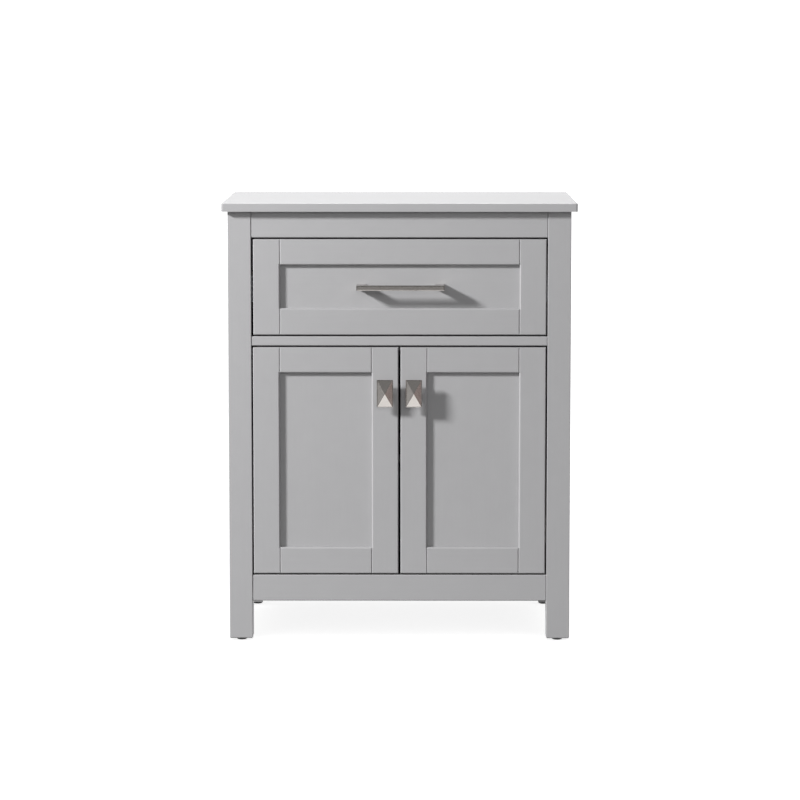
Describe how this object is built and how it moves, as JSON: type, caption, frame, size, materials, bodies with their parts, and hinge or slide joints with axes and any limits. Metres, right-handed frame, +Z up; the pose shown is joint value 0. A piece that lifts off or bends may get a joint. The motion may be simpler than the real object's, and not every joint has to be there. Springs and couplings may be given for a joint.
{
  "type": "bathroom vanity cabinet",
  "caption": "Free-standing painted bathroom vanity cabinet on square legs, with a flush shaker drawer and a pair of flush shaker doors over a shelf.",
  "frame": {"origin": "on the floor, at the middle of the plan's bounding box", "axes": "+Z up, the drawer and doors face -Y, +X to the viewer's right"},
  "size_m": [0.61, 0.422, 0.762],
  "materials": {
    "grey_paint": "satin light grey paint on wood",
    "inside_paint": "satin light grey paint on board",
    "drawer_birch": "clear lacquer on birch",
    "batten_wood": "bare sanded poplar",
    "satin_nickel": "satin nickel plate",
    "hinge_plating": "nickel-plated pressed steel",
    "zinc_plating": "zinc-plated steel",
    "glide_plastic": "black moulded plastic"
  },
  "bodies": {
    "cabinet": {"back_panel": "grey_paint", "cabinet_screws": "zinc_plating", "corner_blocks": "batten_wood", "cupboard_floor": "inside_paint", "door_stop_strip": "grey_paint", "front_bottom_rail": "grey_paint", "front_left_leg": "grey_paint", "front_mid_rail": "grey_paint", "front_right_leg": "grey_paint", "front_top_rail": "grey_paint", "hinge_arms": "hinge_plating", "hinge_mounting_plates": "hinge_plating", "left_bottom_side_rail": "grey_paint", "left_side_panel": "grey_paint", "left_top_side_rail": "grey_paint", "leg_glides": "glide_plastic", "rear_bottom_rail": "grey_paint", "rear_left_leg": "grey_paint", "rear_right_leg": "grey_paint", "rear_top_rail": "grey_paint", "right_bottom_side_rail": "grey_paint", "right_side_panel": "grey_paint", "right_top_side_rail": "grey_paint", "shelf": "inside_paint", "shelf_pins": "zinc_plating", "side_battens": "batten_wood", "slide_cabinet_members": "zinc_plating", "top_panel": "grey_paint"},
    "slide_middles": {"slide_middle_members": "zinc_plating"},
    "drawer": {"drawer_bottom": "drawer_birch", "drawer_box_back": "drawer_birch", "drawer_box_front": "drawer_birch", "drawer_front_bottom_rail": "grey_paint", "drawer_front_left_stile": "grey_paint", "drawer_front_panel": "grey_paint", "drawer_front_right_stile": "grey_paint", "drawer_front_top_rail": "grey_paint", "drawer_left_side": "drawer_birch", "drawer_pull": "satin_nickel", "drawer_right_side": "drawer_birch", "drawer_screws": "zinc_plating", "slide_drawer_members": "zinc_plating"},
    "left_door": {"left_door_bottom_rail": "grey_paint", "left_door_hinge_cups": "hinge_plating", "left_door_hinge_pins": "hinge_plating", "left_door_hinge_stile": "grey_paint", "left_door_knob": "satin_nickel", "left_door_lock_stile": "grey_paint", "left_door_panel": "grey_paint", "left_door_screws": "zinc_plating", "left_door_top_rail": "grey_paint"},
    "right_door": {"right_door_bottom_rail": "grey_paint", "right_door_hinge_cups": "hinge_plating", "right_door_hinge_pins": "hinge_plating", "right_door_hinge_stile": "grey_paint", "right_door_knob": "satin_nickel", "right_door_lock_stile": "grey_paint", "right_door_panel": "grey_paint", "right_door_screws": "zinc_plating", "right_door_top_rail": "grey_paint"}
  },
  "joints": [
    {"name": "drawer_slide", "type": "slide", "parent": "cabinet", "child": "drawer", "axis": [0, -1, 0], "range_m": [0, 0.33]},
    {"name": "slide_middle", "type": "slide", "parent": "cabinet", "child": "slide_middles", "axis": [0, -1, 0], "range_m": [0, 0.165]},
    {"name": "left_door_hinge", "type": "hinge", "parent": "cabinet", "child": "left_door", "pos_m": [-0.2274, -0.17, 0.3163], "axis": [0, 0, -1], "range_deg": [0, 95]},
    {"name": "right_door_hinge", "type": "hinge", "parent": "cabinet", "child": "right_door", "pos_m": [0.2274, -0.17, 0.3163], "axis": [0, 0, 1], "range_deg": [0, 95]}
  ],
  "couplings": [
    {"joint": "slide_middle", "follows": "drawer_slide", "ratio": 0.5}
  ]
}
